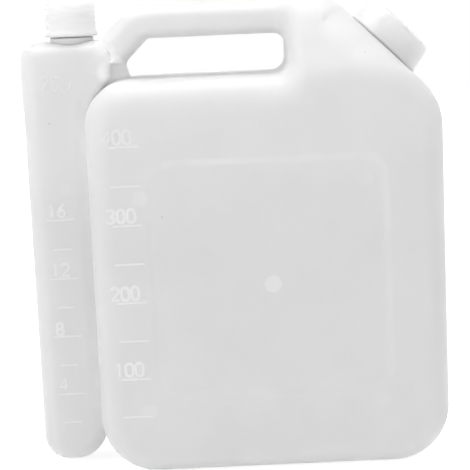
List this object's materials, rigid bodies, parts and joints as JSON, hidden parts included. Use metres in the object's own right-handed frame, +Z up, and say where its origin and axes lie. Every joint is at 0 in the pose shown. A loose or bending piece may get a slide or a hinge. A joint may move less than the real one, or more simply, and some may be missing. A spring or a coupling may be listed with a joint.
{
  "type": "fuel mixing bottle",
  "caption": "Milky blow-moulded fuel mixing bottle: wide tank with a carrying handle, narrow oil measuring column beside it, and a screw cap with a liner on each neck.",
  "frame": {"origin": "middle of the whole width and of the tank's depth, on the plane that the tank stands on", "axes": "+X from the oil column towards the fuel tank's free side, +Y from the graduated face to the back face, +Z up"},
  "size_m": [0.1204, 0.0481, 0.1373],
  "materials": {
    "milky_polyethylene": "translucent milky white, satin, as blown",
    "cap_polyethylene": "translucent milky white, smooth satin, as moulded",
    "liner_foam": "fine closed-cell foam, dull"
  },
  "bodies": {
    "bottle": {"bottle": "milky_polyethylene"},
    "oil_closure": {"oil_cap_liner": "liner_foam"},
    "oil_cap": {"oil_cap": "cap_polyethylene"},
    "fuel_closure": {"fuel_cap_liner": "liner_foam"},
    "fuel_cap": {"fuel_cap": "cap_polyethylene"}
  },
  "joints": [
    {"name": "oil_cap_lift", "type": "slide", "parent": "bottle", "child": "oil_closure", "axis": [0, 0, 1], "range_m": [0, 0.009]},
    {"name": "oil_cap_turn", "type": "hinge", "parent": "oil_closure", "child": "oil_cap", "pos_m": [-0.04545, 0, 0.1323], "axis": [0, 0, 1], "range_deg": [0, 1080]},
    {"name": "fuel_cap_lift", "type": "slide", "parent": "bottle", "child": "fuel_closure", "axis": [0.7071, 0, 0.7071], "range_m": [0, 0.0066]},
    {"name": "fuel_cap_turn", "type": "hinge", "parent": "fuel_closure", "child": "fuel_cap", "pos_m": [0.04778, 0, 0.12327], "axis": [0.7071, 0, 0.7071], "range_deg": [0, 720]}
  ],
  "couplings": [
    {"joint": "oil_cap_turn", "follows": "oil_cap_lift", "rad_per_m": 2094.4},
    {"joint": "fuel_cap_turn", "follows": "fuel_cap_lift", "rad_per_m": 1904}
  ]
}
